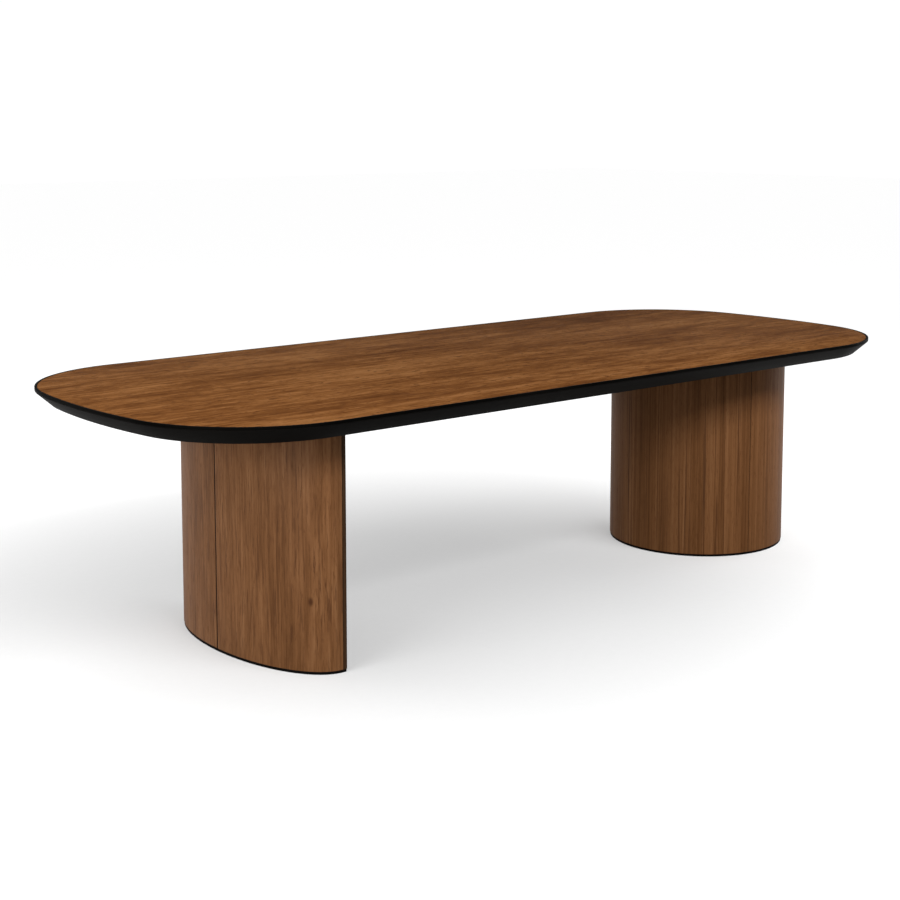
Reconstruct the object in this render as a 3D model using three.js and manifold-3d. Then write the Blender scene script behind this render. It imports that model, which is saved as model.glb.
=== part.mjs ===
// Conference table on two unlike legs: a half-oval leg at the left end and a round drum at the right.
// Millimetres, +Z up, floor at z = 0, origin under the middle of the top, length along X, front at -Y.
import * as THREE from "three";
import { mergeVertices } from "three/addons/utils/BufferGeometryUtils.js";
import Module from "manifold-3d";

const wasm = await Module();
wasm.setup();

// Sizes of the top
const TOP_LENGTH = 2880;
const TOP_WIDTH = 1200;
const TOP_HEIGHT = 750;
const END_RADIUS = 1900;
const CORNER_RADIUS = 400;
const RIM_WIDTH = 8;
const EDGE_HEIGHT = 8;
const BEVEL_HEIGHT = 42;
const BEVEL_INSET = 45;

// Steel tubes let into the underside of the top
const RAIL_WIDTH = 50;
const RAIL_HEIGHT = 25;
const RAIL_WALL = 2;
const RAIL_SPACING = 340;
const RAIL_OVERRUN = 40;

// Half-oval left leg: its flat dark back faces the middle of the table
const LEFT_LEG_OVERHANG = 408;
const LEFT_LEG_WIDTH = 744;
const LEFT_LEG_DEPTH = 182;
const BACK_PANEL_THICKNESS = 13;
const LEFT_SEAM_WIDTH = 3;
const LEFT_ACCESS_DEPTH = 64;
const LEFT_BOLT_SPACING = 48;
const LEFT_GLIDE_END_DISTANCE = 94;
const LEFT_GLIDE_PITCH = 112;

// Round right leg
const RIGHT_LEG_OVERHANG = 152;
const RIGHT_LEG_DIAMETER = 612;
const RIGHT_SEAM_WIDTH = 1.2;
const RIGHT_SEAM_DEGREES = 12;
const RIGHT_ACCESS_RADIUS = 140;
const RIGHT_GLIDE_WALL_DISTANCE = 55;

// What both legs share
const SHELL_THICKNESS = 18;
const SEAM_CHAMFER = 1.5;
const PLINTH_HEIGHT = 8;
const PLINTH_RECESS = 1.5;
const FORMER_THICKNESS = 24;
const BATTEN_WIDTH = 44;
const BATTEN_THICKNESS = 12;
const PLATE_THICKNESS = 6;
const PLATE_CORNER = 12;
const PLATE_BOLT_EDGE = 18;
const PLATE_RAIL_END = 30;
const PLATE_WALL_DISTANCE = 20;
const ACCESS_MARGIN = 24;

// Bolts that hold each leg to the rails
const BOLT_RADIUS = 4;
const BOLT_HEAD_RADIUS = 7;
const BOLT_HEAD_HEIGHT = 6;
const BOLT_REACH = 12;

// Levelling glides, drawn screwed right in
const GLIDE_RADIUS = 15;
const GLIDE_LIFT = 0.5;
const GLIDE_PAD_HEIGHT = 6.5;
const GLIDE_SOCKET_DEPTH = 3.5;
const GLIDE_COLLAR_RADIUS = 8;
const GLIDE_COLLAR_HEIGHT = 5;
const GLIDE_POCKET_DEPTH = 8;
const GLIDE_STEM_RADIUS = 4.9;
const GLIDE_STEM_RISE = 14;
const INSERT_WALL = 2.8;
const INSERT_FLANGE = 3;
const INSERT_FLANGE_HEIGHT = 2;

// Clearances
const FIT_GAP = 0.3;
const HOLE_GAP = 0.4;
const POCKET_GAP = 2.5;
const CUT_MARGIN = 2;

// Steps along the curves
const CORNER_STEPS = 16;
const END_STEPS = 10;
const OVAL_STEPS = 26;
const DRUM_STEPS = 36;
const BATTEN_STEPS = 4;
const ROUND_STEPS = 16;

// Heights and places that follow from the sizes
const BOARD_UNDERSIDE = TOP_HEIGHT - EDGE_HEIGHT;
const UNDERSIDE = BOARD_UNDERSIDE - BEVEL_HEIGHT;
const FORMER_TOP = UNDERSIDE - PLATE_THICKNESS;
const TOP_FORMER_BASE = FORMER_TOP - FORMER_THICKNESS;
const BOTTOM_FORMER_TOP = PLINTH_HEIGHT + FORMER_THICKNESS;
const MID_FORMER_BASE = (BOTTOM_FORMER_TOP + TOP_FORMER_BASE - FORMER_THICKNESS) / 2;
const OVAL_DEPTH = LEFT_LEG_DEPTH - BACK_PANEL_THICKNESS;
const OVAL_HALF_WIDTH = LEFT_LEG_WIDTH / 2;
const LEFT_LEG_X = -TOP_LENGTH / 2 + LEFT_LEG_OVERHANG + OVAL_DEPTH;
const DRUM_RADIUS = RIGHT_LEG_DIAMETER / 2;
const RIGHT_LEG_X = TOP_LENGTH / 2 - RIGHT_LEG_OVERHANG - DRUM_RADIUS;
const RIGHT_SEAM_TURN = THREE.MathUtils.degToRad(RIGHT_SEAM_DEGREES);

// Finishes
function finish(name, color, roughness, metalness = 0) {
  return new THREE.MeshStandardMaterial({ name, color, roughness, metalness });
}
const walnut = finish("walnut", 0x7d5a45, 0.45);
const blackEdge = finish("black_edge", 0x17171a, 0.4);
const darkUnderside = finish("dark_underside", 0x36363a, 0.6);
const plywood = finish("plywood", 0xb99a72, 0.8);
const steel = finish("steel", 0x8d9094, 0.35, 1);
const nylon = finish("nylon", 0x1d1d1f, 0.7);

// Solid modelling helpers
function toSolid(geometry) {
  const bare = new THREE.BufferGeometry();
  const source = geometry.index ? geometry.toNonIndexed() : geometry;
  bare.setAttribute("position", source.getAttribute("position"));
  const merged = mergeVertices(bare, 1e-4);
  const mesh = new wasm.Mesh({
    numProp: 3,
    vertProperties: new Float32Array(merged.getAttribute("position").array),
    triVerts: new Uint32Array(merged.index.array),
  });
  return new wasm.Manifold(mesh);
}

function toGeometry(solid) {
  const mesh = solid.getMesh();
  const geometry = new THREE.BufferGeometry();
  const corners = new Float32Array(mesh.vertProperties);
  const faces = new Uint32Array(mesh.triVerts);
  geometry.setAttribute("position", new THREE.BufferAttribute(corners, 3));
  geometry.setIndex(new THREE.BufferAttribute(faces, 1));
  const flat = geometry.toNonIndexed();
  flat.computeVertexNormals();
  return flat;
}

function cutAway(body, tools) {
  return tools.reduce((left, tool) => left.subtract(tool), body);
}

function prism(outline, base, height, holes = []) {
  const shape = new THREE.Shape(outline);
  shape.holes = holes.map((hole) => new THREE.Path(hole));
  const geometry = new THREE.ExtrudeGeometry(shape, { depth: height, bevelEnabled: false });
  geometry.translate(0, 0, base);
  return toSolid(geometry);
}

function block(width, depth, height, x, y, base) {
  const geometry = new THREE.BoxGeometry(width, depth, height);
  geometry.translate(x, y, base + height / 2);
  return toSolid(geometry);
}

function turned(profile, x, y, steps = ROUND_STEPS) {
  const closed = [...profile, profile[0]];
  const points = closed.map(([radius, height]) => new THREE.Vector2(radius, height));
  const geometry = new THREE.LatheGeometry(points, steps);
  geometry.rotateX(Math.PI / 2);
  geometry.translate(x, y, 0);
  return toSolid(dropThin(geometry));
}

// A profile that meets the axis leaves triangles with no area there: they are dropped
function dropThin(geometry) {
  const flat = geometry.index ? geometry.toNonIndexed() : geometry;
  const position = flat.getAttribute("position");
  const kept = [];
  const corners = [new THREE.Vector3(), new THREE.Vector3(), new THREE.Vector3()];
  for (let start = 0; start < position.count; start += 3) {
    corners.forEach((corner, index) => corner.fromBufferAttribute(position, start + index));
    if (new THREE.Triangle(...corners).getArea() > 1e-6) {
      corners.forEach((corner) => kept.push(corner.x, corner.y, corner.z));
    }
  }
  const clean = new THREE.BufferGeometry();
  clean.setAttribute("position", new THREE.Float32BufferAttribute(kept, 3));
  return clean;
}

function round(radius, base, height, x, y, steps = ROUND_STEPS) {
  return turned([[0, base], [radius, base], [radius, base + height], [0, base + height]], x, y, steps);
}

function arc(x, y, radius, start, end, steps) {
  return Array.from({ length: steps + 1 }, (_, step) => {
    const angle = start + ((end - start) * step) / steps;
    return new THREE.Vector2(x + radius * Math.cos(angle), y + radius * Math.sin(angle));
  });
}

function roundedRectangle(width, depth, radius, x, y) {
  const right = width / 2 - radius;
  const back = depth / 2 - radius;
  const steps = 4;
  const quarter = Math.PI / 2;
  return [
    ...arc(x + right, y - back, radius, -quarter, 0, steps),
    ...arc(x + right, y + back, radius, 0, quarter, steps),
    ...arc(x - right, y + back, radius, quarter, 2 * quarter, steps),
    ...arc(x - right, y - back, radius, 2 * quarter, 3 * quarter, steps),
  ];
}

// Outline of the top: straight long sides, bowed ends and large corners, drawn in by the inset
function topOutline(inset) {
  const endX = TOP_LENGTH / 2 - END_RADIUS;
  const cornerY = TOP_WIDTH / 2 - CORNER_RADIUS;
  const cornerX = endX + Math.sqrt((END_RADIUS - CORNER_RADIUS) ** 2 - cornerY ** 2);
  const sweep = Math.atan2(cornerY, cornerX - endX);
  const corner = CORNER_RADIUS - inset;
  const right = [
    ...arc(cornerX, -cornerY, corner, -Math.PI / 2, -sweep, CORNER_STEPS),
    ...arc(endX, 0, END_RADIUS - inset, -sweep, sweep, END_STEPS).slice(1),
    ...arc(cornerX, cornerY, corner, sweep, Math.PI / 2, CORNER_STEPS).slice(1),
  ];
  const left = right.map((point) => new THREE.Vector2(-point.x, -point.y));
  return [...right, ...left];
}

// Body between two outlines with the same number of points, the lower one first
function loft(lower, lowerZ, upper, upperZ) {
  const count = lower.length;
  const faces = THREE.ShapeUtils.triangulateShape(lower, []);
  const corners = [];
  const put = (outline, index, z) => corners.push(outline[index].x, outline[index].y, z);
  faces.forEach(([a, b, c]) => {
    [a, c, b].forEach((index) => put(lower, index, lowerZ));
    [a, b, c].forEach((index) => put(upper, index, upperZ));
  });
  for (let index = 0; index < count; index += 1) {
    const next = (index + 1) % count;
    put(lower, index, lowerZ);
    put(lower, next, lowerZ);
    put(upper, next, upperZ);
    put(lower, index, lowerZ);
    put(upper, next, upperZ);
    put(upper, index, upperZ);
  }
  const geometry = new THREE.BufferGeometry();
  geometry.setAttribute("position", new THREE.Float32BufferAttribute(corners, 3));
  return toSolid(geometry);
}

// Point on the half oval, set in square to the curve: turn 0 is the front end, a half turn the back end
function ovalPoint(turn, inset) {
  const sine = Math.sin(turn);
  const cosine = Math.cos(turn);
  const across = new THREE.Vector2(-sine / OVAL_DEPTH, -cosine / OVAL_HALF_WIDTH).normalize();
  const point = new THREE.Vector2(-OVAL_DEPTH * sine, -OVAL_HALF_WIDTH * cosine);
  return point.addScaledVector(across, -inset);
}

// Point on the drum, set in along its radius: turn 0 is the front seam, turns grow towards the right
function drumPoint(turn, inset) {
  const radius = DRUM_RADIUS - inset;
  const angle = turn - RIGHT_SEAM_TURN;
  return new THREE.Vector2(radius * Math.sin(angle), -radius * Math.cos(angle));
}

function curve(pointAt, start, end, inset, steps) {
  const pitch = (end - start) / steps;
  return Array.from({ length: steps + 1 }, (_, step) => pointAt(start + pitch * step, inset));
}

// Closed plan of a curved strip between two insets
function strip(pointAt, start, end, outer, inner, steps) {
  return [...curve(pointAt, start, end, outer, steps), ...curve(pointAt, end, start, inner, steps)];
}

// Plan of a shell whose outer arrises are eased at the ends that meet a seam
function shellPlan(pointAt, start, end, easeStart, easeEnd, reach, steps) {
  const ease = SEAM_CHAMFER / reach;
  const first = start + (easeStart ? ease : 0);
  const last = end - (easeEnd ? ease : 0);
  const outside = curve(pointAt, first, last, 0, steps);
  const inside = curve(pointAt, end, start, SHELL_THICKNESS, steps);
  const head = easeStart ? [pointAt(start, SEAM_CHAMFER)] : [];
  const tail = easeEnd ? [pointAt(end, SEAM_CHAMFER)] : [];
  return [...head, ...outside, ...tail, ...inside];
}

function ordered(outline) {
  return THREE.ShapeUtils.isClockWise(outline) ? [...outline].reverse() : outline;
}

const table = new THREE.Group();
table.name = "conference_table";
const topGroup = new THREE.Group();
const leftLeg = new THREE.Group();
const rightLeg = new THREE.Group();
leftLeg.position.x = LEFT_LEG_X;
rightLeg.position.x = RIGHT_LEG_X;
table.add(topGroup, leftLeg, rightLeg);

function add(group, name, solid, material) {
  const mesh = new THREE.Mesh(toGeometry(solid), material);
  mesh.name = name;
  group.add(mesh);
}

// Room inside the half oval, from the back panel to the shell, at a distance from the middle
function ovalRoom(y) {
  const depth = OVAL_DEPTH - SHELL_THICKNESS;
  const halfWidth = OVAL_HALF_WIDTH - SHELL_THICKNESS;
  return depth * Math.sqrt(1 - (y / halfWidth) ** 2);
}

// Places of the bolts, in each leg's own frame
const railY = RAIL_SPACING / 2;
const plateHalfWidth = railY + PLATE_RAIL_END;
const drumRoom = DRUM_RADIUS - SHELL_THICKNESS;
const rightPlateHalf = Math.sqrt((drumRoom - PLATE_WALL_DISTANCE) ** 2 - plateHalfWidth ** 2);
const leftBoltMiddle = -ovalRoom(railY) / 2;
const leftBoltX = [leftBoltMiddle - LEFT_BOLT_SPACING / 2, leftBoltMiddle + LEFT_BOLT_SPACING / 2];
const rightBoltX = [-rightPlateHalf + PLATE_BOLT_EDGE, rightPlateHalf - PLATE_BOLT_EDGE];
const leftBolts = leftBoltX.flatMap((x) => [[x, -railY], [x, railY]]);
const rightBolts = rightBoltX.flatMap((x) => [[x, -railY], [x, railY]]);

// Places of the glides, in each leg's own frame
const outerGlideY = OVAL_HALF_WIDTH - LEFT_GLIDE_END_DISTANCE;
const innerGlideY = outerGlideY - LEFT_GLIDE_PITCH;
const leftGlideY = [-outerGlideY, outerGlideY, -innerGlideY, innerGlideY];
const leftGlides = leftGlideY.map((y) => [-ovalRoom(y) / 2, y]);
const glideCircle = (drumRoom - RIGHT_GLIDE_WALL_DISTANCE) * Math.SQRT1_2;
const rightGlideX = [-glideCircle, glideCircle];
const rightGlides = rightGlideX.flatMap((y) => rightGlideX.map((x) => [x, y]));

// Top: veneered board, its black edge band and the bevelled core below
const boardOutline = topOutline(RIM_WIDTH + FIT_GAP);
add(topGroup, "top_veneered_board", prism(boardOutline, BOARD_UNDERSIDE, EDGE_HEIGHT), walnut);
const bandHole = [...topOutline(RIM_WIDTH)].reverse();
const edgeBand = prism(topOutline(0), BOARD_UNDERSIDE, EDGE_HEIGHT, [bandHole]);
add(topGroup, "top_edge_band", edgeBand, blackEdge);

const railStart = LEFT_LEG_X - OVAL_DEPTH - RAIL_OVERRUN;
const railEnd = RIGHT_LEG_X + DRUM_RADIUS + RAIL_OVERRUN;
const railLength = railEnd - railStart;
const railMiddle = (railStart + railEnd) / 2;
const grooves = [-railY, railY].map((y) => {
  const long = railLength + 2 * FIT_GAP;
  const wide = RAIL_WIDTH + 2 * FIT_GAP;
  const high = RAIL_HEIGHT + FIT_GAP + CUT_MARGIN;
  return block(long, wide, high, railMiddle, y, UNDERSIDE - CUT_MARGIN);
});
const coreBlank = loft(topOutline(BEVEL_INSET), UNDERSIDE, topOutline(0), BOARD_UNDERSIDE);
add(topGroup, "top_bevelled_core", cutAway(coreBlank, grooves), darkUnderside);

function rail(y) {
  const tube = block(railLength, RAIL_WIDTH, RAIL_HEIGHT, railMiddle, y, UNDERSIDE);
  const boreWidth = RAIL_WIDTH - 2 * RAIL_WALL;
  const boreHeight = RAIL_HEIGHT - 2 * RAIL_WALL;
  const boreLength = railLength + 2 * CUT_MARGIN;
  const bore = block(boreLength, boreWidth, boreHeight, railMiddle, y, UNDERSIDE + RAIL_WALL);
  const boltX = [...leftBoltX.map((x) => LEFT_LEG_X + x), ...rightBoltX.map((x) => RIGHT_LEG_X + x)];
  const deep = RAIL_WALL + 2 * CUT_MARGIN;
  const holes = boltX.map((x) => round(BOLT_RADIUS + HOLE_GAP, UNDERSIDE - CUT_MARGIN, deep, x, y));
  return cutAway(tube, [bore, ...holes]);
}
add(topGroup, "front_stiffening_rail", rail(-railY), steel);
add(topGroup, "back_stiffening_rail", rail(railY), steel);

// Shared leg pieces
function bolt([x, y]) {
  const head = TOP_FORMER_BASE - BOLT_HEAD_HEIGHT;
  const tip = UNDERSIDE + BOLT_REACH;
  const profile = [
    [0, head],
    [BOLT_HEAD_RADIUS, head],
    [BOLT_HEAD_RADIUS, TOP_FORMER_BASE],
    [BOLT_RADIUS, TOP_FORMER_BASE],
    [BOLT_RADIUS, tip],
    [0, tip],
  ];
  return turned(profile, x, y, 12);
}

function boltHoles(places, base, height) {
  const deep = height + 2 * CUT_MARGIN;
  return places.map(([x, y]) => round(BOLT_RADIUS + HOLE_GAP, base - CUT_MARGIN, deep, x, y));
}

const pocketRadius = GLIDE_RADIUS + POCKET_GAP;
const pocketTop = PLINTH_HEIGHT + GLIDE_POCKET_DEPTH;
const insertBore = GLIDE_STEM_RADIUS + FIT_GAP;
const insertRadius = insertBore + INSERT_WALL;

function glidePockets(places) {
  const deep = pocketTop + CUT_MARGIN;
  return places.map(([x, y]) => round(pocketRadius, -CUT_MARGIN, deep, x, y, 20));
}

function insertHoles(places) {
  const deep = FORMER_THICKNESS + 2 * CUT_MARGIN;
  return places.map(([x, y]) => round(insertRadius + FIT_GAP, PLINTH_HEIGHT - CUT_MARGIN, deep, x, y));
}

function insert([x, y]) {
  const flangeRadius = insertRadius + INSERT_FLANGE;
  const flangeBase = pocketTop - INSERT_FLANGE_HEIGHT;
  const profile = [
    [insertBore, flangeBase],
    [flangeRadius, flangeBase],
    [flangeRadius, pocketTop],
    [insertRadius, pocketTop],
    [insertRadius, BOTTOM_FORMER_TOP],
    [insertBore, BOTTOM_FORMER_TOP],
  ];
  return turned(profile, x, y);
}

const padTop = GLIDE_LIFT + GLIDE_PAD_HEIGHT;
const socketFloor = padTop - GLIDE_SOCKET_DEPTH;
const socketRadius = GLIDE_STEM_RADIUS + FIT_GAP;

function pad([x, y]) {
  const profile = [
    [0, GLIDE_LIFT],
    [0.88 * GLIDE_RADIUS, GLIDE_LIFT],
    [GLIDE_RADIUS, GLIDE_LIFT + 0.25 * GLIDE_PAD_HEIGHT],
    [GLIDE_RADIUS, GLIDE_LIFT + 0.6 * GLIDE_PAD_HEIGHT],
    [0.62 * GLIDE_RADIUS, padTop],
    [socketRadius, padTop],
    [socketRadius, socketFloor],
    [0, socketFloor],
  ];
  return turned(profile, x, y, 20);
}

function stem([x, y]) {
  const stemTop = BOTTOM_FORMER_TOP + GLIDE_STEM_RISE;
  const shank = round(GLIDE_STEM_RADIUS, socketFloor, stemTop - socketFloor, x, y);
  const collar = round(GLIDE_COLLAR_RADIUS, padTop + FIT_GAP, GLIDE_COLLAR_HEIGHT, x, y, 6);
  return shank.add(collar);
}

function addLegParts(group, side, plan) {
  const { outer, former, access, glides, bolts, plate, notches } = plan;
  const lowerCuts = [...glidePockets(glides), ...insertHoles(glides)];
  const plinth = prism(outer, 0, PLINTH_HEIGHT, [access]);
  add(group, side + "_leg_plinth", cutAway(plinth, glidePockets(glides)), blackEdge);
  const bottom = prism(former, PLINTH_HEIGHT, FORMER_THICKNESS, [access]);
  add(group, side + "_leg_bottom_former", cutAway(bottom, lowerCuts), plywood);
  const middle = prism(former, MID_FORMER_BASE, FORMER_THICKNESS, [access]);
  add(group, side + "_leg_mid_former", cutAway(middle, notches), plywood);
  const upper = prism(former, TOP_FORMER_BASE, FORMER_THICKNESS, [access]);
  const upperHoles = boltHoles(bolts, TOP_FORMER_BASE, FORMER_THICKNESS);
  add(group, side + "_leg_top_former", cutAway(upper, upperHoles), plywood);
  const plateBlank = prism(plate, FORMER_TOP, PLATE_THICKNESS);
  const plateHoles = boltHoles(bolts, FORMER_TOP, PLATE_THICKNESS);
  add(group, side + "_leg_mounting_plate", cutAway(plateBlank, plateHoles), steel);
  bolts.forEach((place, index) => {
    add(group, side + "_leg_bolt_" + (index + 1), bolt(place), steel);
  });
  glides.forEach((place, index) => {
    const number = index + 1;
    add(group, side + "_leg_glide_insert_" + number, insert(place), steel);
    add(group, side + "_leg_glide_pad_" + number, pad(place), nylon);
    add(group, side + "_leg_glide_stem_" + number, stem(place), steel);
  });
}

const shellHeight = UNDERSIDE - PLINTH_HEIGHT;
const battenBase = BOTTOM_FORMER_TOP;
const battenHeight = TOP_FORMER_BASE - BOTTOM_FORMER_TOP;
const battenOuter = SHELL_THICKNESS + FIT_GAP;
const battenInner = battenOuter + BATTEN_THICKNESS;

// Plan of the strip that backs a seam
function battenPlan(pointAt, start, end) {
  return ordered(strip(pointAt, start, end, battenOuter, battenInner, BATTEN_STEPS));
}

// Left leg: two bent shells meet at a seam at the end of the table, a flat dark panel closes the back
const seamTurn = LEFT_SEAM_WIDTH / 2 / OVAL_HALF_WIDTH;
const seamStart = Math.PI / 2 - seamTurn;
const frontPlan = shellPlan(ovalPoint, 0, seamStart, false, true, OVAL_HALF_WIDTH, OVAL_STEPS);
const backPlan = frontPlan.map((point) => new THREE.Vector2(point.x, -point.y));
add(leftLeg, "left_leg_front_shell", prism(ordered(frontPlan), PLINTH_HEIGHT, shellHeight), walnut);
add(leftLeg, "left_leg_back_shell", prism(ordered(backPlan), PLINTH_HEIGHT, shellHeight), walnut);
const panelX = BACK_PANEL_THICKNESS / 2;
const backPanel = block(BACK_PANEL_THICKNESS, LEFT_LEG_WIDTH, shellHeight, panelX, 0, PLINTH_HEIGHT);
add(leftLeg, "left_leg_back_panel", backPanel, blackEdge);

const ovalBattenHalf = BATTEN_WIDTH / 2 / OVAL_HALF_WIDTH;
const ovalBattenStart = Math.PI / 2 - ovalBattenHalf;
const ovalBattenEnd = Math.PI / 2 + ovalBattenHalf;
const ovalBatten = battenPlan(ovalPoint, ovalBattenStart, ovalBattenEnd);
add(leftLeg, "left_leg_seam_batten", prism(ovalBatten, battenBase, battenHeight), plywood);

// Cut in the mid former that lets a seam batten pass
function battenNotch(pointAt, start, end, reach) {
  const spare = FIT_GAP / reach;
  const outer = SHELL_THICKNESS - CUT_MARGIN;
  const plan = strip(pointAt, start - spare, end + spare, outer, battenInner + FIT_GAP, BATTEN_STEPS);
  return prism(ordered(plan), MID_FORMER_BASE - CUT_MARGIN, FORMER_THICKNESS + 2 * CUT_MARGIN);
}
const ovalNotch = battenNotch(ovalPoint, ovalBattenStart, ovalBattenEnd, OVAL_HALF_WIDTH);

const plinthBack = BACK_PANEL_THICKNESS - PLINTH_RECESS;
const plinthFront = curve(ovalPoint, 0, Math.PI, PLINTH_RECESS, 2 * OVAL_STEPS);
const plinthEnd = OVAL_HALF_WIDTH - PLINTH_RECESS;
const plinthRear = [plinthEnd, -plinthEnd].map((y) => new THREE.Vector2(plinthBack, y));
const formerInset = SHELL_THICKNESS + FIT_GAP;
const leftAccessX = -ovalRoom(0) / 2;
const leftAccessWidth = 2 * (innerGlideY - pocketRadius - ACCESS_MARGIN);
const leftAccessCorner = LEFT_ACCESS_DEPTH / 2 - FIT_GAP;
const leftAccess = roundedRectangle(LEFT_ACCESS_DEPTH, leftAccessWidth, leftAccessCorner, leftAccessX, 0);
const leftPlateDepth = LEFT_BOLT_SPACING + 2 * PLATE_BOLT_EDGE;
addLegParts(leftLeg, "left", {
  outer: ordered([...plinthFront, ...plinthRear]),
  former: ordered(curve(ovalPoint, 0, Math.PI, formerInset, 2 * OVAL_STEPS)),
  access: leftAccess.reverse(),
  glides: leftGlides,
  bolts: leftBolts,
  plate: roundedRectangle(leftPlateDepth, 2 * plateHalfWidth, PLATE_CORNER, leftBoltMiddle, 0),
  notches: [ovalNotch],
});

// Right leg: two half-round shells with seams at the front and the back
const drumSeam = RIGHT_SEAM_WIDTH / 2 / DRUM_RADIUS;
const drumEnd = Math.PI - drumSeam;
const outerPlan = shellPlan(drumPoint, drumSeam, drumEnd, true, true, DRUM_RADIUS, DRUM_STEPS);
const innerPlan = outerPlan.map((point) => new THREE.Vector2(-point.x, -point.y));
add(rightLeg, "right_leg_outer_shell", prism(ordered(outerPlan), PLINTH_HEIGHT, shellHeight), walnut);
add(rightLeg, "right_leg_inner_shell", prism(ordered(innerPlan), PLINTH_HEIGHT, shellHeight), walnut);
const drumBattenHalf = BATTEN_WIDTH / 2 / DRUM_RADIUS;
function drumBatten(middle) {
  const start = middle - drumBattenHalf;
  const end = middle + drumBattenHalf;
  return prism(battenPlan(drumPoint, start, end), battenBase, battenHeight);
}
function drumNotch(middle) {
  return battenNotch(drumPoint, middle - drumBattenHalf, middle + drumBattenHalf, DRUM_RADIUS);
}
add(rightLeg, "right_leg_front_seam_batten", drumBatten(0), plywood);
add(rightLeg, "right_leg_back_seam_batten", drumBatten(Math.PI), plywood);
addLegParts(rightLeg, "right", {
  outer: arc(0, 0, DRUM_RADIUS - PLINTH_RECESS, 0, 2 * Math.PI, 2 * DRUM_STEPS).slice(1),
  former: arc(0, 0, DRUM_RADIUS - formerInset, 0, 2 * Math.PI, 2 * DRUM_STEPS).slice(1),
  access: arc(0, 0, RIGHT_ACCESS_RADIUS, 0, 2 * Math.PI, 40).slice(1).reverse(),
  glides: rightGlides,
  bolts: rightBolts,
  plate: roundedRectangle(2 * rightPlateHalf, 2 * plateHalfWidth, PLATE_CORNER, 0, 0),
  notches: [drumNotch(0), drumNotch(Math.PI)],
});

export default table;
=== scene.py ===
# %% [markdown]
# # A conference table on two unlike legs
# The solid model of this table already exists: it is loaded as a fixed frame, in metres, with the
# floor at z = 0, the length along X and the front at -Y. This lesson dresses it. The pieces that
# show are modelled again with soft arrises and smooth curves, and every piece gets a finish.

# %% Load the frame
import bpy
import math
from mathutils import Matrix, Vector


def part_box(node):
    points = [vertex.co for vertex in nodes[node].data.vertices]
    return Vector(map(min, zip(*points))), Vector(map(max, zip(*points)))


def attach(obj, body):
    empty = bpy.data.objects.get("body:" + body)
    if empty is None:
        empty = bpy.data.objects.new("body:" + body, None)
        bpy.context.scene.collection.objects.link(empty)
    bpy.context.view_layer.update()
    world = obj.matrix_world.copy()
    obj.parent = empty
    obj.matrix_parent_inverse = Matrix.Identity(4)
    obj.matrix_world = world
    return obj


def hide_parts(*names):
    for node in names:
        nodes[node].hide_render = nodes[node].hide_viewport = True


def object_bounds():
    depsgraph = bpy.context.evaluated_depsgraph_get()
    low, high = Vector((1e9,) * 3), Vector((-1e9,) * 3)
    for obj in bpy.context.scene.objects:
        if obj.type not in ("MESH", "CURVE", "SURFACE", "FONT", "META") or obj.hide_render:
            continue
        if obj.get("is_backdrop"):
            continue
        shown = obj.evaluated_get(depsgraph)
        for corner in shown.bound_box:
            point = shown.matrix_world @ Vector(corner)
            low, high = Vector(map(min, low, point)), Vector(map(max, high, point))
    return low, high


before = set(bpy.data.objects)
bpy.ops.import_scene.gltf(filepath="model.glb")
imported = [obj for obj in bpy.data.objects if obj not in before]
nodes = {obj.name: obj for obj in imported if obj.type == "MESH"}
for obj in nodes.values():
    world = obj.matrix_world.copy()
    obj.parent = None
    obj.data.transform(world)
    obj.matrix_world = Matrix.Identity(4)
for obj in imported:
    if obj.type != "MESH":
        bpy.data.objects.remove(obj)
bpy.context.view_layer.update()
print("pieces in the frame:", len(nodes))

# %% [markdown]
# ## The camera
# The photograph shows the table from the front left, a little above the top, with upright lines
# that stay almost upright. A view camera does that: it looks nearly level and its film is shifted
# down. So the camera here keeps a small tilt and takes the rest from its shift.

# %% Camera
SENSOR_WIDTH = 36.0
LENS_LENGTH = 64.66
FILM_SHIFT = -0.1667
CAMERA_PLACE = (-3.3712, -3.8224, 1.5063)
TILT_DOWN = math.radians(6.51)
TURN_RIGHT = math.radians(39.91)

camera_data = bpy.data.cameras.new("view_camera")
camera_data.sensor_width = SENSOR_WIDTH
camera_data.lens = LENS_LENGTH
camera_data.shift_y = FILM_SHIFT
camera = bpy.data.objects.new("view_camera", camera_data)
camera.location = CAMERA_PLACE
camera.rotation_euler = (math.pi / 2 - TILT_DOWN, 0.0, -TURN_RIGHT)
bpy.context.scene.collection.objects.link(camera)
bpy.context.scene.camera = camera
print("camera lens:", camera_data.lens)

# %% [markdown]
# ## Shader maths as plain expressions
# A wood finish adds and multiplies many patterns. Wiring each Math node by hand hides the idea, so
# one small class wraps a socket: writing `a * 0.4 + b` then adds the nodes. A second class holds one
# material. Its method `node` adds any other node, and the short methods after it only name the
# nodes that are used most.

# %% Helpers for finishes
def opaque(colour):
    return (*colour, 1.0)


def even(value):
    return (value, value, value)


def set_stops(ramp, stops):
    while len(ramp.elements) < len(stops):
        ramp.elements.new(1.0)
    for element, (place, colour) in zip(ramp.elements, stops):
        element.position = place
        element.color = opaque(colour)


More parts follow.
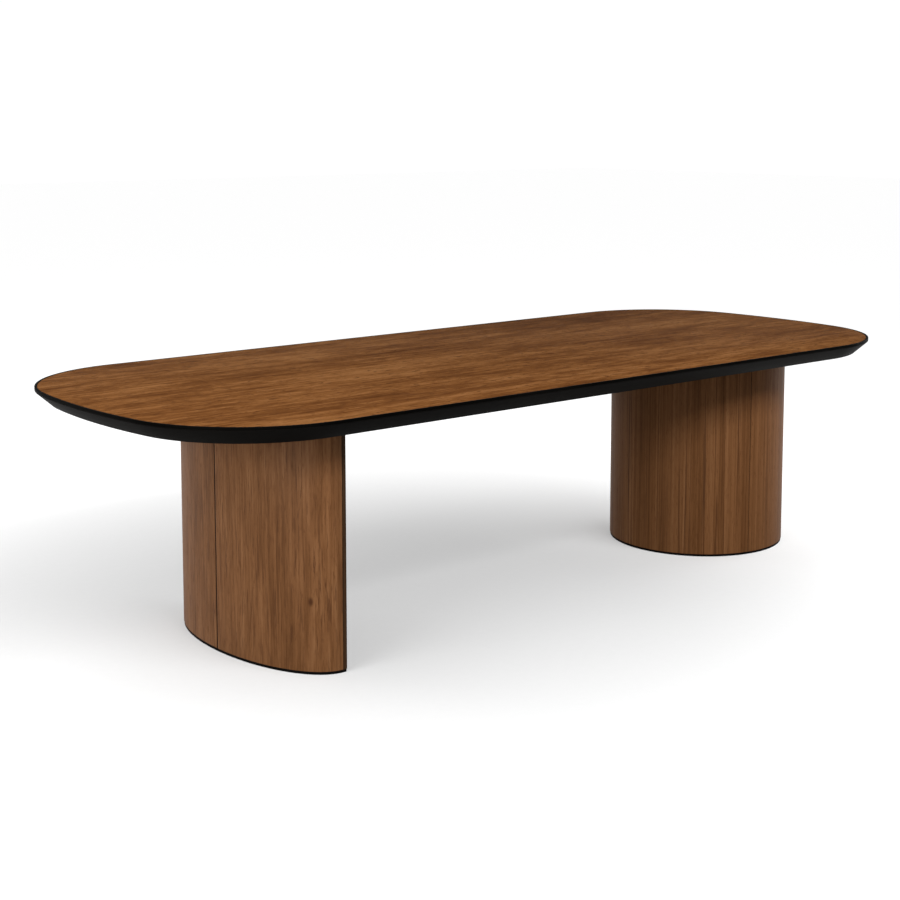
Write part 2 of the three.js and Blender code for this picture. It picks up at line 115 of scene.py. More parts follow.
class Field:
    """A number that changes over the surface, with the usual arithmetic."""

    def __init__(self, finish, socket):
        self.finish = finish
        self.socket = socket

    def combine(self, operation, first, second):
        return self.finish.node("ShaderNodeMath", {"operation": operation}, {0: first, 1: second})

    def __add__(self, other):
        return self.combine("ADD", self, other)

    def __radd__(self, other):
        return self.combine("ADD", other, self)

    def __sub__(self, other):
        return self.combine("SUBTRACT", self, other)

    def __rsub__(self, other):
        return self.combine("SUBTRACT", other, self)

    def __mul__(self, other):
        return self.combine("MULTIPLY", self, other)

    def __rmul__(self, other):
        return self.combine("MULTIPLY", other, self)

    def __pow__(self, other):
        return self.combine("POWER", self, other)

    def sine(self):
        return self.combine("SINE", self, 0.0)

    def size(self):
        return self.combine("ABSOLUTE", self, 0.0)

    def between(self, low, high):
        ends = {"Value": self, "From Min": low, "From Max": high}
        return self.finish.node("ShaderNodeMapRange", {"interpolation_type": "SMOOTHSTEP"}, ends)


class Finish:
    """One material: its surface shader and the nodes that feed it."""

    def __init__(self, name, **constants):
        self.material = bpy.data.materials.new(name)
        self.material.use_nodes = True
        self.tree = self.material.node_tree
        self.surface = self.tree.nodes["Principled BSDF"]
        for socket, value in constants.items():
            self.surface.inputs[socket.replace("_", " ")].default_value = value

    def node(self, kind, settings=None, inputs=None, output=0):
        made = self.tree.nodes.new(kind)
        for key, value in (settings or {}).items():
            if key == "stops":
                set_stops(made.color_ramp, value)
            else:
                setattr(made, key, value)
        for key, value in (inputs or {}).items():
            self.feed(made.inputs[key], value)
        return Field(self, made.outputs[output])

    def feed(self, socket, value):
        if isinstance(value, Field):
            self.tree.links.new(value.socket, socket)
        else:
            socket.default_value = value

    def place(self, scale=(1, 1, 1), shift=(0, 0, 0)):
        where = self.node("ShaderNodeTexCoord", output="Object")
        given = {"Vector": where, "Scale": scale, "Location": shift}
        return self.node("ShaderNodeMapping", inputs=given)

    def noise(self, scale, shift=(0, 0, 0), detail=3.0, roughness=0.55, distortion=0.0):
        given = {"Vector": self.place(scale, shift), "Scale": 1.0, "Detail": detail}
        given.update({"Roughness": roughness, "Distortion": distortion})
        return self.node("ShaderNodeTexNoise", inputs=given)

    def measure(self, operation, first, second=(0, 0, 0)):
        ends = {0: first, 1: second}
        return self.node("ShaderNodeVectorMath", {"operation": operation}, ends, "Value")

    def ramp(self, level, stops):
        return self.node("ShaderNodeValToRGB", {"stops": stops}, {"Fac": level})

    def mix(self, factor, first, second):
        given = {0: factor, 6: first, 7: second}
        return self.node("ShaderNodeMix", {"data_type": "RGBA"}, given, output=2)

    def bump(self, height, strength, distance):
        given = {"Height": height, "Strength": strength, "Distance": distance}
        return self.node("ShaderNodeBump", inputs=given)

    def show(self, **links):
        for socket, field in links.items():
            self.feed(self.surface.inputs[socket.replace("_", " ")], field)
        return self.material


print("finish helpers ready")

# %% [markdown]
# ## Walnut veneer
# Veneer shows many things at once: broad clouds of tone, bands of growth that open into arches,
# mottled patches, fine streaks and fibres along the grain, dark veins, light flecks and short dark
# pores. Each of them is a noise that is stretched along the grain, and the bands are the contour
# lines of a very long one. A picture of wood would show its edges where it repeats, while noise runs
# on over a whole leg and on to the next face.
#
# The left leg also has a small knot that pushes the bands aside. Each seam gets a dark stain along
# its edges, which also paints the shade of the groove: a groove this fine doesn't look dark from its
# shape alone.

# %% Walnut recipe
WOOD_IOR = 1.45
PATTERN = {
    "cloud": {"detail": 5.0, "roughness": 0.62},
    "growth": {"detail": 1.5, "roughness": 0.4, "distortion": 0.25},
    "mottle": {"detail": 6.0, "roughness": 0.7, "distortion": 0.5},
    "streak": {"detail": 5.0, "roughness": 0.68},
    "fibre": {"detail": 2.0, "roughness": 0.6},
    "vein": {"detail": 4.0, "roughness": 0.65, "distortion": 0.4},
    "gleam": {"detail": 4.0, "roughness": 0.6, "distortion": 0.4},
    "pore": {"detail": 2.0, "roughness": 0.5},
}
BAND_SHARPNESS = 3
VEIN_EDGE, VEIN_LEAST, LIVELY_EDGE = (0.54, 0.64), 0.35, (0.35, 0.65)
GLEAM_EDGE, GLEAM_DEPTH = (0.56, 0.74), 0.4
PORE_EDGE, PORE_DEPTH = (0.56, 0.68), 0.4
FIBRE_ROUGH, PORE_ROUGH = 0.12, 0.1
FIBRE_RISE, PORE_SINK = 0.6, 0.8
RELIEF_STRENGTH, RELIEF_DEPTH = 0.12, 0.0006
KNOT_SQUASH, KNOT_REACH, KNOT_PUSH = 0.6, 0.030, 0.05
KNOT_EDGE, KNOT_DEPTH = (0.002, 0.010), 0.85
# The seams' dark colour: a stain on their edges that also paints the shade of the grooves.
SEAM_BLUR, SEAM_STAIN_AND_SHADE = 0.0002, (0.004, 0.003, 0.002)


def walnut(name, along, shift, tones, figure, seam=None, knot=None):
    wood = Finish(name, IOR=WOOD_IOR, Specular_IOR_Level=figure["shine"])

    def grain(pattern):
        long, cross = figure[pattern]
        scale = tuple(long if axis == along else cross for axis in "xyz")
        return wood.noise(scale, shift, **PATTERN[pattern])

    growth, mottle, fibre = grain("growth"), grain("mottle"), grain("fibre")
    pore = grain("pore").between(*PORE_EDGE)
    lively = VEIN_LEAST + mottle.between(*LIVELY_EDGE) * (1 - VEIN_LEAST)
    vein = grain("vein").between(*VEIN_EDGE) * lively
    gleam = grain("gleam").between(*GLEAM_EDGE)
    if knot:
        away = wood.measure("DISTANCE", wood.place((1, 1, KNOT_SQUASH)), knot)
        growth = growth + (1 - away.between(0.0, KNOT_REACH)) * KNOT_PUSH
    wave = (growth * (figure["arches"] * math.tau)).sine() * 0.5 + 0.5
    bands = 1 - wave ** BAND_SHARPNESS

    parts = (grain("cloud"), bands, mottle, grain("streak"), fibre)
    tone = sum(part * weight for part, weight in zip(parts, figure["weights"]))
    middle = sum(figure["weights"]) / 2
    level = tone.between(middle - figure["range"], middle + figure["range"])
    darkest, lightest = opaque(tones[0][1]), opaque(tones[-1][1])
    vein_colour = opaque(figure["vein_colour"])
    colour = wood.ramp(level, tones)
    colour = wood.mix(vein * figure["vein_depth"], colour, vein_colour)
    colour = wood.mix(gleam * GLEAM_DEPTH, colour, lightest)
    colour = wood.mix(pore * PORE_DEPTH, colour, darkest)
    if knot:
        colour = wood.mix((1 - away.between(*KNOT_EDGE)) * KNOT_DEPTH, colour, vein_colour)
    # Painted shade: the groove walls and arrises along the seam are darkened, partly a stain, partly
    # the groove's shade.
    if seam:
        apart = wood.measure("DOT_PRODUCT", wood.place(), seam["across"]) - seam["at"]
        inside = 1 - apart.size().between(seam["half"] - SEAM_BLUR, seam["half"] + SEAM_BLUR)
        colour = wood.mix(inside, colour, opaque(SEAM_STAIN_AND_SHADE))
    rough = figure["rough"] + fibre * FIBRE_ROUGH + pore * PORE_ROUGH
    relief = wood.bump(fibre * FIBRE_RISE - pore * PORE_SINK, RELIEF_STRENGTH, RELIEF_DEPTH)
    return wood.show(Base_Color=colour, Roughness=rough, Normal=relief)


print("patterns in the walnut:", len(PATTERN))

# %% [markdown]
# ## Figures and tones
# The top, the half-oval leg and the drum are cut from different leaves. The top has short flecks and
# clouds, the half-oval leg fine upright lines with soft patches, and the drum straight stripes. So
# each gets its own figure: for every pattern how often it changes along and across the grain, in
# times per metre, and how much of it goes into the tone. The flat back of the half-oval leg has
# the drum's figure in a dark stain.

# %% Walnut finishes
EVERY_FIGURE = {"growth": (0.55, 3.4), "fibre": (12.0, 460.0), "pore": (34.0, 330.0)}
TOP_FIGURE = {
    **EVERY_FIGURE,
    "cloud": (1.1, 3.8), "mottle": (6.0, 20.0), "streak": (3.6, 95.0),
    "vein": (26.0, 100.0), "gleam": (16.0, 70.0),
    "arches": 6.0, "weights": (0.44, 0.06, 0.54, 0.54, 0.22), "range": 0.195,
    "rough": 0.50, "shine": 0.004, "vein_depth": 0.85, "vein_colour": (0.030, 0.010, 0.003),
}
LEG_FIGURE = {
    **EVERY_FIGURE,
    "cloud": (0.9, 5.0), "mottle": (3.2, 28.0), "streak": (2.4, 120.0),
    "vein": (7.5, 120.0), "gleam": (5.0, 90.0),
    "arches": 16.0, "weights": (0.30, 0.05, 0.46, 0.54, 0.24), "range": 0.235,
    "rough": 0.46, "shine": 0.09, "vein_depth": 0.72, "vein_colour": (0.040, 0.013, 0.004),
}
DRUM_FIGURE = {
    **EVERY_FIGURE,
    "cloud": (0.10, 10.0), "mottle": (0.7, 38.0), "streak": (0.7, 115.0),
    "vein": (0.9, 95.0), "gleam": (0.8, 70.0),
    "arches": 6.0, "weights": (0.42, 0.02, 0.40, 0.50, 0.16), "range": 0.25,
    "rough": 0.46, "shine": 0.05, "vein_depth": 0.75, "vein_colour": (0.036, 0.012, 0.004),
}
PANEL_FIGURE = {**DRUM_FIGURE, "rough": 0.40, "vein_colour": (0.008, 0.004, 0.002)}
TOP_TONES = [
    (0.0, (0.0595, 0.0202, 0.0048)), (0.3, (0.0981, 0.0361, 0.0096)),
    (0.65, (0.1382, 0.0547, 0.0157)), (1.0, (0.1969, 0.0866, 0.0295)),
]
LEG_TONES = [
    (0.0, (0.0618, 0.0227, 0.0069)), (0.3, (0.1029, 0.0415, 0.0138)),
    (0.65, (0.1425, 0.0603, 0.0222)), (1.0, (0.1900, 0.0877, 0.0360)),
]
PANEL_TONES = [
    (0.0, (0.012, 0.0055, 0.0025)), (0.3, (0.021, 0.0095, 0.0040)),
    (0.65, (0.032, 0.0150, 0.0062)), (1.0, (0.048, 0.0230, 0.0100)),
]
KNOT = (-0.940, -0.331, 0.203 * KNOT_SQUASH)
LEFT_SEAM = {"across": (0.0, 1.0, 0.0), "at": 0.0, "half": 0.0024}
SEAM_TURN = math.radians(12)
DRUM_X = 0.982
DRUM_ACROSS = (math.cos(SEAM_TURN), -math.sin(SEAM_TURN), 0.0)
DRUM_SEAM = {"across": DRUM_ACROSS, "at": DRUM_X * DRUM_ACROSS[0], "half": 0.0008}


def leg_walnut(name, shift, figure, seam, knot=None):
    return walnut(name, "z", shift, LEG_TONES, figure, seam, knot)


walnut_top = walnut("walnut_top", "x", (0.3, 1.7, 0.0), TOP_TONES, TOP_FIGURE)
walnut_leg_front = leg_walnut(
    "walnut_left_leg_front", (0.0, 0.0, 3.1), LEG_FIGURE, LEFT_SEAM, KNOT
)
walnut_leg_back = leg_walnut("walnut_left_leg_back", (2.3, 5.0, 7.7), LEG_FIGURE, LEFT_SEAM)
walnut_drum_inner = leg_walnut("walnut_drum_inner", (4.1, 2.0, 1.3), DRUM_FIGURE, DRUM_SEAM)
walnut_drum_outer = leg_walnut("walnut_drum_outer", (8.2, 1.0, 5.9), DRUM_FIGURE, DRUM_SEAM)
stained_panel = walnut("stained_panel", "z", (1.2, 3.0, 2.2), PANEL_TONES, PANEL_FIGURE)
print("walnut finishes:", len([m for m in bpy.data.materials if m.name.startswith("walnut")]))

# %% [markdown]
# ## Black lacquer, plywood, steel and nylon
# The edge band, the bevel and the plinths are lacquered black, with a faint orange peel and a
# slightly uneven gloss. Inside the legs the formers are raw plywood, whose edges show their layers,
# and the battens behind the seams are stained dark, which also paints the shade in the gaps, so that
# nothing pale shows through a gap. The rails, plates and bolts are bright steel with fine lines, and
# the glides stand on nylon.

# %% Other finishes
LACQUER_IOR = 1.48
PEEL_SCALE, PEEL_ROUGH, PEEL_BUMP = 180, 0.06, (0.05, 0.0004)
HAZE_SCALE, HAZE_ROUGH, HAZE_EDGE = 3.5, 0.12, (0.35, 0.75)
LAYER_SCALE, LAYER_EDGE, LAYER_SHARE = (0.4, 0.4, 620.0), (0.42, 0.58), 0.45
PLY_SCALE, PLY_ROUGH, PLY_BUMP = (3.0, 90.0, 90.0), (0.62, 0.2), (0.15, 0.0006)
STEEL_STAIN_SCALE, STEEL_STAIN_EDGE = 9, (0.3, 0.8)
STEEL_BRIGHT, STEEL_DULL = (0.56, 0.57, 0.59), (0.43, 0.44, 0.46)
STEEL_ROUGH, STEEL_BUMP = (0.24, 0.2), (0.08, 0.0003)
GRIT_SCALE, CAST_SCALE = 900, 60
NYLON_DARK, NYLON_PALE = (0.012, 0.012, 0.013), (0.028, 0.028, 0.03)
NYLON_ROUGH, NYLON_BUMP = (0.5, 0.2), (0.2, 0.0003)


def lacquer(name, colour, paler, gloss, shine):
    coat = Finish(name, IOR=LACQUER_IOR, Specular_IOR_Level=shine)
    peel = coat.noise(even(PEEL_SCALE), detail=2.0)
    haze = coat.noise(even(HAZE_SCALE))
    shade = coat.mix(haze.between(*HAZE_EDGE), opaque(colour), opaque(paler))
    rough = gloss + haze * HAZE_ROUGH + peel * PEEL_ROUGH
    return coat.show(Base_Color=shade, Roughness=rough, Normal=coat.bump(peel, *PEEL_BUMP))


def plywood(name, tones):
    ply = Finish(name)
    layer = ply.noise(LAYER_SCALE, detail=0.0).between(*LAYER_EDGE)
    grain = ply.noise(PLY_SCALE, detail=4.0)
    colour = ply.ramp(layer * LAYER_SHARE + grain * (1 - LAYER_SHARE), tones)
    rough = PLY_ROUGH[0] + grain * PLY_ROUGH[1]
    return ply.show(Base_Color=colour, Roughness=rough, Normal=ply.bump(grain, *PLY_BUMP))


def brushed_steel(name, scale):
    metal = Finish(name, Metallic=1.0)
    lines = metal.noise(scale)
    stain = metal.noise(even(STEEL_STAIN_SCALE)).between(*STEEL_STAIN_EDGE)
    colour = metal.mix(stain, opaque(STEEL_BRIGHT), opaque(STEEL_DULL))
    rough = STEEL_ROUGH[0] + lines * STEEL_ROUGH[1]
    return metal.show(Base_Color=colour, Roughness=rough, Normal=metal.bump(lines, *STEEL_BUMP))


def moulded_nylon(name):
    nylon = Finish(name)
    grit = nylon.noise(even(GRIT_SCALE), detail=2.0)
    cast = nylon.noise(even(CAST_SCALE), detail=2.0)
    colour = nylon.mix(cast, opaque(NYLON_DARK), opaque(NYLON_PALE))
    rough = NYLON_ROUGH[0] + grit * NYLON_ROUGH[1]
    return nylon.show(Base_Color=colour, Roughness=rough, Normal=nylon.bump(grit, *NYLON_BUMP))


EDGE_BLACK, EDGE_PALER = (0.0012, 0.0011, 0.0009), (0.0025, 0.0023, 0.002)
BEVEL_BLACK, BEVEL_PALER = (0.0025, 0.0022, 0.0019), (0.0042, 0.0038, 0.0033)
RAW_TONES = [
    (0.0, (0.235, 0.135, 0.062)), (0.5, (0.430, 0.285, 0.145)), (1.0, (0.600, 0.440, 0.255)),
]
# The battens' dark stain also paints the shade inside the seam gaps.
STAIN_AND_GAP_SHADE_TONES = [
    (0.0, (0.004, 0.003, 0.002)), (0.5, (0.008, 0.006, 0.004)), (1.0, (0.014, 0.010, 0.007)),
]
edge_lacquer = lacquer("edge_lacquer", EDGE_BLACK, EDGE_PALER, gloss=0.36, shine=0.005)
bevel_lacquer = lacquer("bevel_lacquer", BEVEL_BLACK, BEVEL_PALER, gloss=0.45, shine=0.012)
raw_plywood = plywood("raw_plywood", RAW_TONES)
stained_plywood_gap_shade = plywood("stained_plywood_gap_shade", STAIN_AND_GAP_SHADE_TONES)
rail_steel = brushed_steel("rail_steel", (6, 500, 500))
bolt_steel = brushed_steel("bolt_steel", (700, 700, 60))
glide_nylon = moulded_nylon("glide_nylon")
print("finishes in all:", len(bpy.data.materials))

# %% [markdown]
# ## The outline of the top
# The top is a long rounded rectangle: straight sides, gently bowed ends and large corners. Every
# ring of the top is the same outline drawn in by some distance, which for arcs just means a smaller
# radius. These are the sizes of the solid model, in metres.

# %% Sizes and the outline
TOP_LENGTH, TOP_WIDTH, TOP_HEIGHT = 2.880, 1.200, 0.750
END_RADIUS, CORNER_RADIUS = 1.900, 0.400
RIM_WIDTH, EDGE_HEIGHT = 0.008, 0.008
BEVEL_HEIGHT, BEVEL_INSET = 0.042, 0.045
BOARD_BASE = TOP_HEIGHT - EDGE_HEIGHT
UNDERSIDE = BOARD_BASE - BEVEL_HEIGHT
CORNER_STEPS, END_STEPS = 40, 24


def arc(x, y, radius, start, end, steps):
    turns = [start + (end - start) * step / steps for step in range(steps + 1)]
    return [(x + radius * math.cos(turn), y + radius * math.sin(turn)) for turn in turns]


def top_outline(inset):
    end_x = TOP_LENGTH / 2 - END_RADIUS
    corner_y = TOP_WIDTH / 2 - CORNER_RADIUS
    corner_x = end_x + math.sqrt((END_RADIUS - CORNER_RADIUS) ** 2 - corner_y ** 2)
    sweep = math.atan2(corner_y, corner_x - end_x)
    corner = CORNER_RADIUS - inset
    right = arc(corner_x, -corner_y, corner, -math.pi / 2, -sweep, CORNER_STEPS)
    right += arc(end_x, 0.0, END_RADIUS - inset, -sweep, sweep, END_STEPS)[1:]
    right += arc(corner_x, corner_y, corner, sweep, math.pi / 2, CORNER_STEPS)[1:]
    return right + [(-x, -y) for x, y in right]


print("points round the top:", len(top_outline(0.0)))

# %% [markdown]
# ## Small habits for modelling by hand
# Every operator works on what is selected, so each piece starts with nothing selected. A piece is
# finished in the same few moves: merge doubles, turn its faces outwards, soften the arrises with a
# Bevel modifier, shade it smooth by angle, then hand it to the frame in place of its solid.

# %% Modelling helpers
MERGE_DISTANCE = 1e-6
SMOOTH_ANGLE = math.radians(35)


def deselect_all():
    if bpy.context.object and bpy.context.object.mode != "OBJECT":
        bpy.ops.object.mode_set(mode="OBJECT")
    bpy.ops.object.select_all(action="DESELECT")


def named(name):
    piece = bpy.context.object
    piece.name = name
    piece.data.name = name
    return piece


def settle():
    bpy.ops.object.transform_apply(location=True, rotation=True, scale=True)


def edit_all():
    bpy.ops.object.mode_set(mode="EDIT")
    bpy.ops.mesh.select_mode(type="VERT")
    bpy.ops.mesh.select_all(action="SELECT")


def select_faces(piece, test):
    bpy.ops.object.mode_set(mode="EDIT")
    bpy.ops.mesh.select_mode(type="FACE")
    bpy.ops.mesh.select_all(action="DESELECT")
    bpy.ops.object.mode_set(mode="OBJECT")
    for face in piece.data.polygons:
        face.select = test(face)
    bpy.ops.object.mode_set(mode="EDIT")


def clean_faces():
    edit_all()
    bpy.ops.mesh.remove_doubles(threshold=MERGE_DISTANCE)
    bpy.ops.mesh.normals_make_consistent(inside=False)
    bpy.ops.object.mode_set(mode="OBJECT")


def soften(piece, width, segments=3, angle=40):
    bevel = piece.modifiers.new("soft_arris", "BEVEL")
    bevel.width = width
    bevel.segments = segments
    bevel.limit_method = "ANGLE"
    bevel.angle_limit = math.radians(angle)
    bpy.ops.object.modifier_apply(modifier=bevel.name)
    bpy.ops.object.shade_smooth_by_angle(angle=SMOOTH_ANGLE)


def hand_over(piece, finish, node):
    piece.data.materials.clear()
    piece.data.materials.append(finish)
    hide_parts(node)
    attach(piece, "table")
    print(piece.name, "faces:", len(piece.data.polygons))


def outline_disc(name, inset, height):
    points = top_outline(inset)
    deselect_all()
    bpy.ops.mesh.primitive_circle_add(
        vertices=len(points), radius=TOP_WIDTH / 2, fill_type="NGON"
    )
    disc = named(name)
    for vertex, (x, y) in zip(disc.data.vertices, points):
        vertex.co = (x, y, height)
    disc.data.update()
    return disc


def extrude(move):
    bpy.ops.mesh.extrude_region_move(TRANSFORM_OT_translate={"value": move})


print("modelling helpers ready")

# %% [markdown]
# ## The veneered board
# The work surface is a thin board with walnut veneer, let into the edge band. A cube with rounded
# corners would miss the bowed ends, so a disc with the real outline is pulled up to the board's
# thickness. Its arris is eased by less than a millimetre, so that the joint to the edge band catches
# a thin line of shade.

# %% Veneered board
JOINT_GAP, BOARD_ARRIS = 0.0004, 0.0006
board = outline_disc("veneered_board", RIM_WIDTH + JOINT_GAP, BOARD_BASE)
edit_all()
extrude((0, 0, EDGE_HEIGHT))
clean_faces()
soften(board, BOARD_ARRIS, segments=2)
hand_over(board, walnut_top, "top_veneered_board")

# %% [markdown]
# ## The edge band
# The black lipping runs all round the board. A curve with a square profile could make it too, but an
# inset keeps the points of the outline, so that band and board fit. The inset draws the inner line,
# the middle is deleted, and the ring that is left is pulled down. Its softened outer arris is the
# thin line along the near end.

# %% Edge band
BAND_ARRIS = 0.0014
band = outline_disc("edge_band", 0.0, TOP_HEIGHT)
edit_all()
bpy.ops.mesh.inset(thickness=RIM_WIDTH, use_even_offset=True)
bpy.ops.mesh.delete(type="FACE")
bpy.ops.mesh.select_all(action="SELECT")
extrude((0, 0, -EDGE_HEIGHT))
clean_faces()
soften(band, BAND_ARRIS)
hand_over(band, edge_lacquer, "top_edge_band")

# %% [markdown]
# ## The bevelled core
# Under the band the top draws in towards the underside. A thin slab is pulled down first, then an
# inset with a depth makes the whole sloping face in one move. Two grooves for the steel rails are
# cut with a Boolean modifier, because they cross the flat underside.

# %% Bevelled core
LAND, CORE_ARRIS, CORE_ANGLE = 0.002, 0.0015, 25
DOWNWARD = -0.9
GROOVE_GAP = Vector(even(0.001))
core = outline_disc("bevelled_core", 0.0, BOARD_BASE)
edit_all()
extrude((0, 0, -LAND))
clean_faces()
select_faces(core, lambda face: face.normal.z < DOWNWARD)
bpy.ops.mesh.inset(thickness=BEVEL_INSET, depth=BEVEL_HEIGHT - LAND, use_even_offset=True)
bpy.ops.object.mode_set(mode="OBJECT")
soften(core, CORE_ARRIS, segments=2, angle=CORE_ANGLE)
for rail in ("front_stiffening_rail", "back_stiffening_rail"):
    low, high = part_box(rail)
    deselect_all()
    bpy.ops.mesh.primitive_cube_add(
        size=1.0, location=(low + high) / 2, scale=high - low + GROOVE_GAP
    )
    cutter = named("groove_cutter")
    settle()
    deselect_all()
    core.select_set(True)
    bpy.context.view_layer.objects.active = core
    groove = core.modifiers.new("groove", "BOOLEAN")
    groove.operation = "DIFFERENCE"
    groove.object = cutter
    bpy.ops.object.modifier_apply(modifier=groove.name)
    bpy.data.objects.remove(cutter, do_unlink=True)
bpy.ops.object.shade_smooth_by_angle(angle=SMOOTH_ANGLE)
hand_over(core, bevel_lacquer, "top_bevelled_core")

# %% [markdown]
# ## The half-oval leg
# Two bent shells make a half oval whose ends run square into a flat back panel. A ring is squeezed
# to the oval, pulled up to a wall and cut along the back and along the seam. Solidify then gives the
# wall its even thickness, and the bevel eases the arrises, so the seam reads as a fine groove; its
# dark line is the stain and painted shade of the walnut finish.

# %% Left leg
LEFT_X, OVAL_DEPTH, OVAL_HALF, OVAL_STEPS = -0.863, 0.169, 0.372, 288
SHELL, SEAM, PLINTH, PANEL = 0.018, 0.003, 0.008, 0.013
SHELL_ARRIS, PANEL_ARRIS = 0.0014, 0.0012
LEG_HEIGHT = UNDERSIDE - PLINTH


def cut(place, normal, fill=False):
    bpy.ops.mesh.select_all(action="SELECT")
    bpy.ops.mesh.bisect(plane_co=place, plane_no=normal, use_fill=fill, clear_outer=True)


def oval_shell(name, side):
    middle = (LEFT_X, 0, PLINTH)
    deselect_all()
    bpy.ops.mesh.primitive_circle_add(
        vertices=OVAL_STEPS, radius=OVAL_HALF, fill_type="NOTHING", location=middle
    )
    settle()
    shell = named(name)
    edit_all()
    squeeze = (OVAL_DEPTH / OVAL_HALF, 1.0, 1.0)
    bpy.ops.transform.resize(value=squeeze, center_override=middle)
    extrude((0, 0, LEG_HEIGHT))
    cut((LEFT_X, 0, 0), (1, 0, 0))
    cut((0, side * SEAM / 2, 0), (0, -side, 0))
    bpy.ops.object.mode_set(mode="OBJECT")
    clean_faces()
    face = shell.data.polygons[0]
    outward = face.normal.x * (face.center.x - LEFT_X) + face.normal.y * face.center.y
    if outward < 0:
        edit_all()
        bpy.ops.mesh.flip_normals()
        bpy.ops.object.mode_set(mode="OBJECT")
    wall = shell.modifiers.new("wall", "SOLIDIFY")
    wall.thickness = SHELL
    wall.offset = -1.0
    wall.use_even_offset = True
    bpy.ops.object.modifier_apply(modifier=wall.name)
    soften(shell, SHELL_ARRIS)
    return shell


left_front, left_back = oval_shell("left_front_shell", -1), oval_shell("left_back_shell", 1)
hand_over(left_front, walnut_leg_front, "left_leg_front_shell")
hand_over(left_back, walnut_leg_back, "left_leg_back_shell")

# %% [markdown]
# ## The flat back of the half-oval leg
# One upright board closes the leg towards the middle of the table. Only its edge shows in the
# photograph, as a brown-black line. It could be extruded from a strip, but a cube of the board's
# size is square already, so only its arrises are left to ease with the bevel.

# %% Back panel
deselect_all()
panel_middle = (LEFT_X + PANEL / 2, 0, PLINTH + LEG_HEIGHT / 2)
panel_size = (PANEL, 2 * OVAL_HALF, LEG_HEIGHT)
bpy.ops.mesh.primitive_cube_add(size=1.0, location=panel_middle, scale=panel_size)
settle()
panel = named("left_back_panel")
soften(panel, PANEL_ARRIS)
hand_over(panel, stained_panel, "left_leg_back_panel")

# %% [markdown]
# ## The drum
# The round leg is made of two bent halves. A cylinder would still need its inside cut out, while a
# spin gives both faces of the wall at once: a narrow upright strip, as wide as the wall is thick, is
# swept half way round the middle of the drum. A cut along the seam then leaves the small gap between
# the two halves, at the front and at the back.

# %% Right leg
DRUM_RADIUS, DRUM_GAP, DRUM_STEPS, DRUM_ARRIS = 0.306, 0.0012, 144, 0.0008


def drum_shell(name, side):
    deselect_all()
    reach = DRUM_RADIUS - SHELL / 2
    middle_x = DRUM_X + reach * DRUM_ACROSS[1]
    middle = (middle_x, -reach * DRUM_ACROSS[0], PLINTH + LEG_HEIGHT / 2)
    turned = (0, math.pi / 2, -SEAM_TURN)
    bpy.ops.mesh.primitive_plane_add(size=1.0, location=middle, rotation=turned)
    shell = named(name)
    shell.scale = (LEG_HEIGHT, SHELL, 1.0)
    settle()
    edit_all()
    half_turn = -side * math.pi
    bpy.ops.mesh.spin(steps=DRUM_STEPS, angle=half_turn, center=(DRUM_X, 0, 0), axis=(0, 0, 1))
    gap = side * DRUM_GAP / 2
    place = (DRUM_X + gap * DRUM_ACROSS[0], gap * DRUM_ACROSS[1], 0)
    cut(place, [-side * part for part in DRUM_ACROSS], fill=True)
    bpy.ops.object.mode_set(mode="OBJECT")
    clean_faces()
    soften(shell, DRUM_ARRIS)
    return shell


drum_inner, drum_outer = drum_shell("drum_inner_shell", -1), drum_shell("drum_outer_shell", 1)
hand_over(drum_inner, walnut_drum_inner, "right_leg_inner_shell")
hand_over(drum_outer, walnut_drum_outer, "right_leg_outer_shell")

# %% [markdown]
# ## Finishes for the pieces that keep their solids
# The plinths, formers, rails, bolts and glides have the right shape already. Each only needs its
# finish in place of the plain colour it came with.

# %% Carried-over pieces
def finish_for(node):
    if node.endswith("_plinth"):
        return bevel_lacquer
    if node.endswith("_former"):
        return raw_plywood
    # battens: a dark stain that also paints the shade in the seam gaps
    if node.endswith("_batten"):
        return stained_plywood_gap_shade
    if "_glide_pad_" in node:
        return glide_nylon
    if node.endswith(("_rail", "_plate")):
        return rail_steel
    return bolt_steel


for node, solid in nodes.items():
    for slot in solid.material_slots:
        slot.material = finish_for(node)
print("solids with a finish:", len(nodes))

# %% [markdown]
# ## The floor
# The photograph is a studio cut-out: white all round, with a soft grey shade under the table. A
# floor lit by lamps alone turns grey far away, so this one glows a little by itself, more with the
# distance from the table, until it meets the white of the sky. Its weaker glow near the table is
# painted shade: it darkens the floor round the table on top of the lamps' shadow. A floor this
# bright would also light the shade under the top, so it is hidden from the rays that carry bounced
# light.

# %% Floor
FLOOR_SIZE, FLOOR_ROUGH, TOOTH_SCALE = 60.0, 0.9, 40
PAPER_DARK, PAPER_PALE = 0.47, 0.49
# Where the painted shade of the dimmer glow lies round the table, and how wide it is.
SHADE_SHIFT, SHADE_EDGE = (0.60, 0, 0), (0.9, 2.7)
GLOW_NEAR_PAINTED_SHADE, GLOW_FAR, GLOW_STRENGTH = 0.345, 1.0, 0.71

deselect_all()
bpy.ops.mesh.primitive_plane_add(size=FLOOR_SIZE, location=(0, 0, 0))
floor = named("studio_floor")
paper = Finish("floor_paper", Roughness=FLOOR_ROUGH, Emission_Strength=GLOW_STRENGTH)
tooth = paper.noise(even(TOOTH_SCALE), detail=2.0)
white = paper.mix(tooth, opaque(even(PAPER_DARK)), opaque(even(PAPER_PALE)))
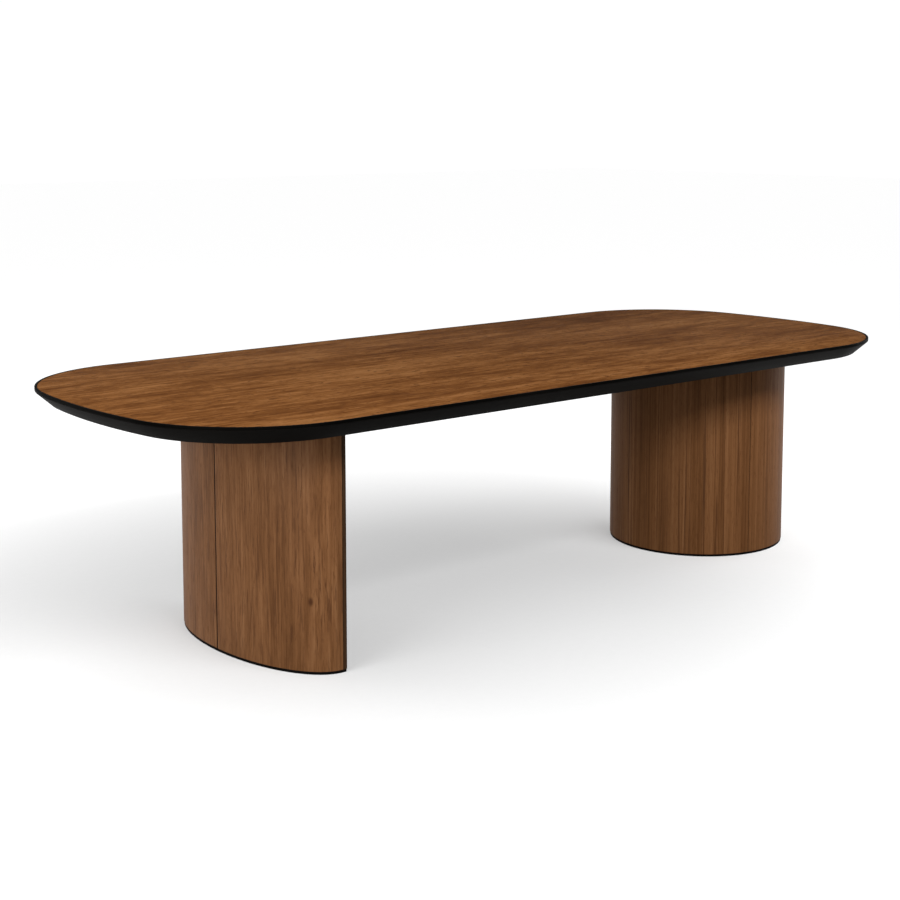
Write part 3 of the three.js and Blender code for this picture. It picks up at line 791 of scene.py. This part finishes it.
# Painted shade: the glow fades towards the table, so the floor is darker round it.
distance = paper.measure("LENGTH", paper.place(shift=SHADE_SHIFT))
painted_shade_fade = distance.between(*SHADE_EDGE)
glow_with_painted_shade = paper.mix(painted_shade_fade, opaque(even(GLOW_NEAR_PAINTED_SHADE)), opaque(even(GLOW_FAR)))
floor.data.materials.append(paper.show(Base_Color=white, Emission_Color=glow_with_painted_shade))
floor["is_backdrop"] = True
floor.visible_diffuse = False
print("floor size:", FLOOR_SIZE)

# %% [markdown]
# ## Lamps and sky
# Five large soft boxes stand round the table, so that no side falls into the dark. The front one is
# high, so the top shades the upper part of the legs. The sky is a dome whose brightness changes with
# height: dim below, in place of the light that the floor doesn't give back, white at the horizon,
# dark just above it, because the top mirrors that part at this flat angle, and grey overhead. The
# view transform is Standard, which shows a tone as it was chosen.

# %% Lamps and sky
LAMPS = [
    ("overhead_soft_box", (-2.4, 0.2, 2.9), (-0.8, 0, 0.7), (2.4, 2.4), 42),
    ("front_soft_box", (0.3, -4.4, 3.4), (0.2, 0, 0.2), (5.0, 1.2), 275),
    ("left_soft_box", (-4.5, -0.9, 1.35), (-0.9, 0, 0.35), (2.8, 1.3), 120),
    ("right_soft_box", (4.9, -0.6, 1.5), (0.98, 0, 0.3), (2.4, 1.2), 60),
    ("back_soft_box", (-2.8, 4.4, 2.6), (-0.2, 0, 0.2), (3.0, 1.2), 60),
]
SKY_GLOW = [
    (0.0, 0.17), (0.46, 0.17), (0.47, 0.51), (0.535, 0.51),
    (0.56, 0.14), (0.64, 0.14), (0.75, 0.31), (1.0, 0.27),
]
SKY_STRENGTH = 2.0


def lamp(name, place, aim, size, power):
    data = bpy.data.lights.new(name, "AREA")
    data.shape = "RECTANGLE"
    data.size, data.size_y = size
    data.energy = power
    light = bpy.data.objects.new(name, data)
    light.location = place
    towards = Vector(aim) - Vector(place)
    light.rotation_euler = towards.to_track_quat("-Z", "Y").to_euler()
    bpy.context.scene.collection.objects.link(light)


for row in LAMPS:
    lamp(*row)
world = bpy.data.worlds.new("studio_sky")
world.use_nodes = True
sky = world.node_tree
where = sky.nodes.new("ShaderNodeTexCoord")
split = sky.nodes.new("ShaderNodeSeparateXYZ")
height = sky.nodes.new("ShaderNodeMapRange")
height.inputs["From Min"].default_value = -1.0
dome = sky.nodes.new("ShaderNodeValToRGB")
set_stops(dome.color_ramp, [(place, even(value)) for place, value in SKY_GLOW])
background = sky.nodes["Background"]
background.inputs["Strength"].default_value = SKY_STRENGTH
sky.links.new(where.outputs["Generated"], split.inputs[0])
sky.links.new(split.outputs["Z"], height.inputs["Value"])
sky.links.new(height.outputs[0], dome.inputs["Fac"])
sky.links.new(dome.outputs["Color"], background.inputs["Color"])
bpy.context.scene.world = world
bpy.context.scene.view_settings.view_transform = "Standard"
print("lamps:", len(LAMPS))

# %% [markdown]
# ## The size
# The dressed table should fill the same box as the solid model; here its box is measured.

# %% Finish
low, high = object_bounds()
